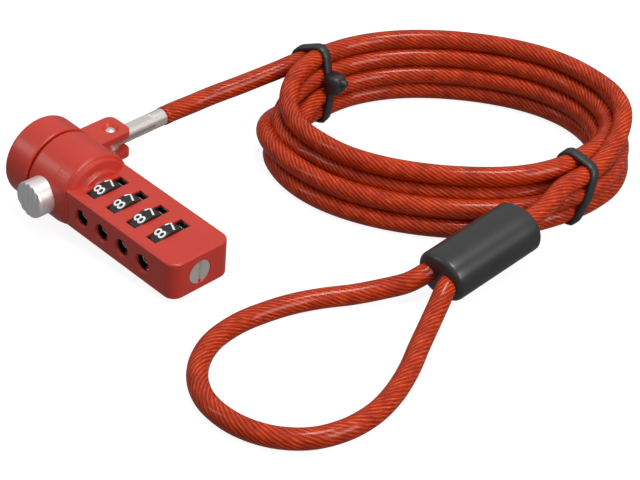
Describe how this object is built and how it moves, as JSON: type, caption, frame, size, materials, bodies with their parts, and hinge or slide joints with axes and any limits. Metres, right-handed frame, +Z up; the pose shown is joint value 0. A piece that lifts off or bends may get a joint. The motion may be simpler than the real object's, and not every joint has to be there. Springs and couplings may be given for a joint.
{
  "type": "cable luggage lock",
  "caption": "Combination cable lock: red lock body with number dials, side push button, swivelling clevis ring, and a coiled coated cable ending in a sleeved loop",
  "frame": {"origin": "on the surface the lock lies on, under the centre of the lock itself (its box without the cable and the pieces on the cable)", "axes": "+X from the end ring towards the nose of the lock; +Y from the push button side towards the clevis and the cable; +Z up from the surface"},
  "size_m": [0.1316, 0.1637, 0.0234],
  "materials": {
    "red_paint": "gloss paint on die-cast zinc",
    "black_dial": "satin black",
    "hub_brass": "machined",
    "steel": "bare hardened steel",
    "nickel": "satin nickel plate",
    "button_metal": "satin, bead blasted",
    "spring_steel": "bright wire",
    "cable_jacket": "clear tinted vinyl over steel strand",
    "black_rubber": "satin moulded black"
  },
  "bodies": {
    "cable": {"cable_tail": "cable_jacket", "cable_coil": "cable_jacket", "cable_run": "cable_jacket", "cable_loop": "cable_jacket", "loop_sleeve": "black_rubber", "loop_crimp": "button_metal", "back_tie": "black_rubber", "front_tie": "black_rubber", "end_ferrule": "nickel"},
    "swivel": {"swivel_ring": "red_paint", "clevis_pin": "nickel"},
    "housing": {"housing": "red_paint", "bottom_cover": "red_paint", "cover_screws": "steel", "slot_plate": "steel", "plate_screws": "steel", "detent_spring": "spring_steel", "spindle_spring": "spring_steel", "button_spring": "spring_steel"},
    "dial_1_body": {"dial_1": "black_dial", "hub_1": "hub_brass"},
    "dial_2_body": {"dial_2": "black_dial", "hub_2": "hub_brass"},
    "dial_3_body": {"dial_3": "black_dial", "hub_3": "hub_brass"},
    "dial_4_body": {"dial_4": "black_dial", "hub_4": "hub_brass"},
    "spindle": {"spindle": "steel"},
    "code_screw": {"code_screw": "nickel"},
    "button": {"push_button": "button_metal", "button_stem": "steel"},
    "tbar": {"tbar": "steel", "pinion": "hub_brass"}
  },
  "joints": [
    {"name": "clevis_pivot", "type": "hinge", "parent": "cable", "child": "swivel", "pos_m": [-0.02218, 0.01395, 0.01184], "axis": [0.1011, 0, 0.9949], "range_deg": [-75, 30]},
    {"name": "ring_swivel", "type": "hinge", "parent": "swivel", "child": "housing", "pos_m": [-0.02497, -0.00365, 0.01213], "axis": [0.9949, 0, -0.1011], "range_deg": [-130, 130]},
    {"name": "dial_1_turn", "type": "hinge", "parent": "housing", "child": "dial_1_body", "pos_m": [-0.00129, -0.00465, 0.00972], "axis": [0.9949, 0, -0.1011], "continuous": true},
    {"name": "dial_2_turn", "type": "hinge", "parent": "housing", "child": "dial_2_body", "pos_m": [0.00617, -0.00465, 0.00897], "axis": [0.9949, 0, -0.1011], "continuous": true},
    {"name": "dial_3_turn", "type": "hinge", "parent": "housing", "child": "dial_3_body", "pos_m": [0.01363, -0.00465, 0.00821], "axis": [0.9949, 0, -0.1011], "continuous": true},
    {"name": "dial_4_turn", "type": "hinge", "parent": "housing", "child": "dial_4_body", "pos_m": [0.02109, -0.00465, 0.00745], "axis": [0.9949, 0, -0.1011], "continuous": true},
    {"name": "button_press", "type": "slide", "parent": "housing", "child": "button", "axis": [0, 1, 0], "range_m": [0, 0.00346], "stiffness_N_per_m": 300, "springref_m": -0.002},
    {"name": "tbar_turn", "type": "hinge", "parent": "housing", "child": "tbar", "pos_m": [-0.02497, -0.00365, 0.01213], "axis": [0.9949, 0, -0.1011], "range_deg": [-91, 1]},
    {"name": "spindle_slide", "type": "slide", "parent": "housing", "child": "spindle", "axis": [0.9949, 0, -0.1011], "range_m": [-0.0001, 0.0015]},
    {"name": "code_screw_turn", "type": "hinge", "parent": "housing", "child": "code_screw", "pos_m": [0.03074, -0.00435, 0.00647], "axis": [0.9949, 0, -0.1011], "range_deg": [0, 90]}
  ],
  "couplings": [
    {"joint": "tbar_turn", "follows": "button_press", "rad_per_m": -454.55},
    {"joint": "spindle_slide", "follows": "button_press", "ratio": 0.4}
  ]
}
